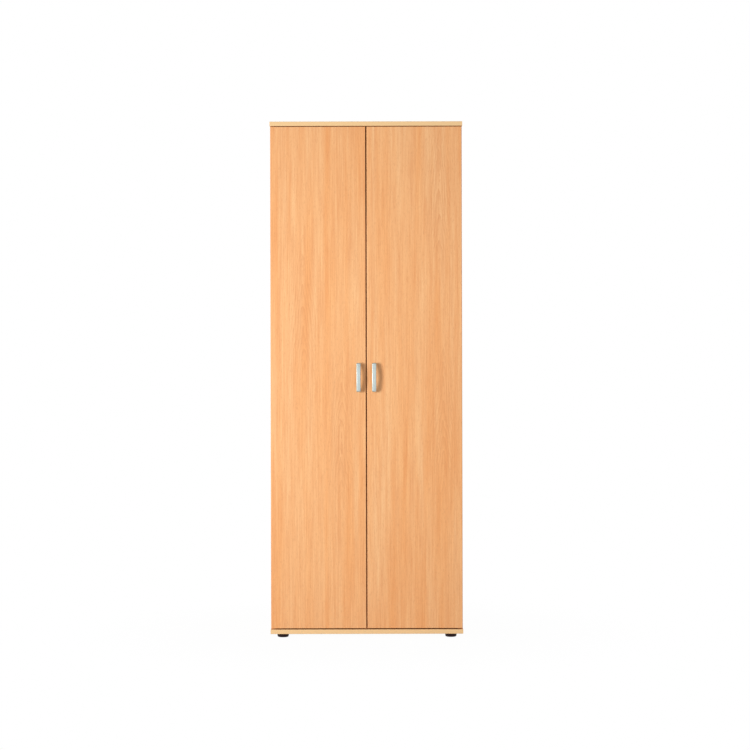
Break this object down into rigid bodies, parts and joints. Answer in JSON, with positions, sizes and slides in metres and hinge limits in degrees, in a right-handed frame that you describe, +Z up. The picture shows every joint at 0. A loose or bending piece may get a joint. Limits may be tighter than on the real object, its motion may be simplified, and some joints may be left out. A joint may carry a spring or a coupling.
{
  "type": "broom cupboard",
  "caption": "Tall broom cupboard in beech decor: hinged doors with bow handles on concealed cup hinges, hat shelf, partition, shelves on pins and low round feet.",
  "frame": {"origin": "on the floor below the middle of the whole object, handles included", "axes": "+Z up, the doors face -Y, +X to the right seen from the front"},
  "size_m": [0.69, 0.427, 1.85],
  "materials": {
    "beech_decor": "chipboard in satin beech decor with matching edge band",
    "hardboard": "thin hardboard, beech-coloured inside, raw brown outside",
    "profile_plastic": "matte",
    "support_steel": "zinc plated",
    "foot_plastic": "matte",
    "bracket_steel": "zinc plated",
    "hinge_steel": "nickel plated",
    "felt": "felt pad",
    "handle_metal": "satin silver"
  },
  "bodies": {
    "carcass": {"top_board": "beech_decor", "bottom_board": "beech_decor", "left_side_panel": "beech_decor", "right_side_panel": "beech_decor", "hat_shelf": "beech_decor", "partition": "beech_decor", "back_panel_left": "hardboard", "back_panel_right": "hardboard", "back_joining_profile": "profile_plastic", "lower_shelf": "beech_decor", "fixed_shelf": "beech_decor", "upper_shelf": "beech_decor", "shelf_supports": "support_steel", "front_feet": "foot_plastic", "rear_feet": "foot_plastic", "wall_bracket": "bracket_steel", "left_hinge_arms": "hinge_steel", "right_hinge_arms": "hinge_steel", "left_hinge_plates": "hinge_steel", "right_hinge_plates": "hinge_steel"},
    "left_door_leaf": {"left_door": "beech_decor", "left_door_bumpers": "felt", "left_handle": "handle_metal", "left_hinge_cups": "hinge_steel", "left_hinge_pins": "hinge_steel"},
    "right_door_leaf": {"right_door": "beech_decor", "right_door_bumpers": "felt", "right_handle": "handle_metal", "right_hinge_cups": "hinge_steel", "right_hinge_pins": "hinge_steel"}
  },
  "joints": [
    {"name": "left_door_swing", "type": "hinge", "parent": "carcass", "child": "left_door_leaf", "pos_m": [-0.336, -0.179, 0.93325], "axis": [0, 0, -1], "range_deg": [0, 95]},
    {"name": "right_door_swing", "type": "hinge", "parent": "carcass", "child": "right_door_leaf", "pos_m": [0.336, -0.179, 0.93325], "axis": [0, 0, 1], "range_deg": [0, 95]}
  ]
}
